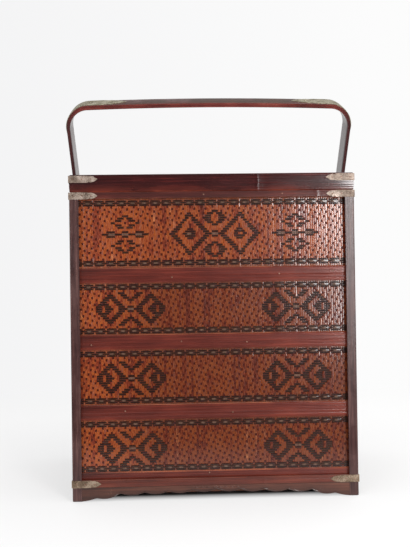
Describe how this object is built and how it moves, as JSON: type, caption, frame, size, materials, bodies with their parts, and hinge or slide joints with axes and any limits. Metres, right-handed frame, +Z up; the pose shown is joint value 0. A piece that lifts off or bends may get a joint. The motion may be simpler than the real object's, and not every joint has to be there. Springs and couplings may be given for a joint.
{
  "type": "picnic basket",
  "caption": "Upright picnic basket: woven bamboo tiers stacked in a corner-post frame on scalloped aprons, with a lift-off lid and a swing handle.",
  "frame": {"origin": "on the floor, in the middle of the footprint", "axes": "+Z up, +X to the right and -Y to the front; the handle swings about X and leans to the front"},
  "size_m": [0.4146, 0.2716, 0.5655],
  "materials": {
    "post_wood": "dark purple-brown lacquered wood, worn on its edges",
    "rail_wood": "dark red-brown lacquered bamboo",
    "batten_bamboo": "red-brown split bamboo with fine lengthwise ridges, satin lacquer",
    "apron_wood": "worn red-brown wood with shallow incised ornament",
    "lid_bamboo": "dark maroon lacquered bamboo",
    "woven_strip": "woven split bamboo, orange-red upright strips and dark level strips under gloss lacquer",
    "inner_bamboo": "plain brown bamboo, matt",
    "handle_wood": "red-brown bent wood, olive-brown where hands wear it",
    "aged_metal": "pinkish-grey aged metal sheet",
    "pin_metal": "aged metal"
  },
  "bodies": {
    "frame": {"post_front_left": "post_wood", "post_front_right": "post_wood", "post_back_left": "post_wood", "post_back_right": "post_wood", "side_stile_left": "post_wood", "side_stile_right": "post_wood", "rim_rail_front": "rail_wood", "rim_rail_back": "rail_wood", "rim_rail_left": "rail_wood", "rim_rail_right": "rail_wood", "base_rail_front": "batten_bamboo", "base_rail_back": "batten_bamboo", "base_rail_left": "batten_bamboo", "base_rail_right": "batten_bamboo", "apron_front": "apron_wood", "apron_back": "apron_wood", "apron_left": "apron_wood", "apron_right": "apron_wood", "base_bearer_front": "inner_bamboo", "base_bearer_back": "inner_bamboo", "base_board": "inner_bamboo", "base_plate_front_left": "aged_metal", "base_plate_front_right": "aged_metal", "base_plate_back_left": "aged_metal", "base_plate_back_right": "aged_metal", "rim_plate_front_left": "aged_metal", "rim_plate_front_right": "aged_metal", "rim_plate_back_left": "aged_metal", "rim_plate_back_right": "aged_metal", "pivot_pin_left": "pin_metal", "pivot_washer_left": "aged_metal", "pivot_pin_right": "pin_metal", "pivot_washer_right": "aged_metal"},
    "handle": {"handle_strap": "handle_wood", "handle_plate_left": "aged_metal", "handle_plate_right": "aged_metal"},
    "lid": {"lid_rail_front": "lid_bamboo", "lid_rail_back": "lid_bamboo", "lid_rail_left": "lid_bamboo", "lid_rail_right": "lid_bamboo", "lid_panel": "woven_strip", "lid_batten_left": "inner_bamboo", "lid_batten_right": "inner_bamboo", "lid_locating_frame": "inner_bamboo", "lid_plate_front_left": "aged_metal", "lid_plate_front_right": "aged_metal", "lid_plate_back_left": "aged_metal", "lid_plate_back_right": "aged_metal"},
    "tier_1": {"tier_1_woven_box": "woven_strip", "tier_1_batten_ring": "batten_bamboo", "tier_1_inner_frame": "inner_bamboo"},
    "tier_2": {"tier_2_woven_box": "woven_strip", "tier_2_batten_ring": "batten_bamboo", "tier_2_inner_frame": "inner_bamboo"},
    "tier_3": {"tier_3_woven_box": "woven_strip", "tier_3_batten_ring": "batten_bamboo", "tier_3_inner_frame": "inner_bamboo"},
    "tier_4": {"tier_4_woven_box": "woven_strip", "tier_4_batten_ring": "batten_bamboo", "tier_4_inner_frame": "inner_bamboo"}
  },
  "joints": [
    {"name": "handle_swing", "type": "hinge", "parent": "frame", "child": "handle", "pos_m": [0, 0, 0.392], "axis": [1, 0, 0], "range_deg": [-142, 93]},
    {"name": "tier_4_lift", "type": "slide", "parent": "frame", "child": "tier_4", "axis": [0, 0, 1], "range_m": [0, 0.085]},
    {"name": "tier_3_lift", "type": "slide", "parent": "tier_4", "child": "tier_3", "axis": [0, 0, 1], "range_m": [0, 0.085]},
    {"name": "tier_2_lift", "type": "slide", "parent": "tier_3", "child": "tier_2", "axis": [0, 0, 1], "range_m": [0, 0.085]},
    {"name": "tier_1_lift", "type": "slide", "parent": "tier_2", "child": "tier_1", "axis": [0, 0, 1], "range_m": [0, 0.085]},
    {"name": "lid_lift", "type": "slide", "parent": "tier_1", "child": "lid", "axis": [0, 0, 1], "range_m": [0, 0.085]}
  ]
}
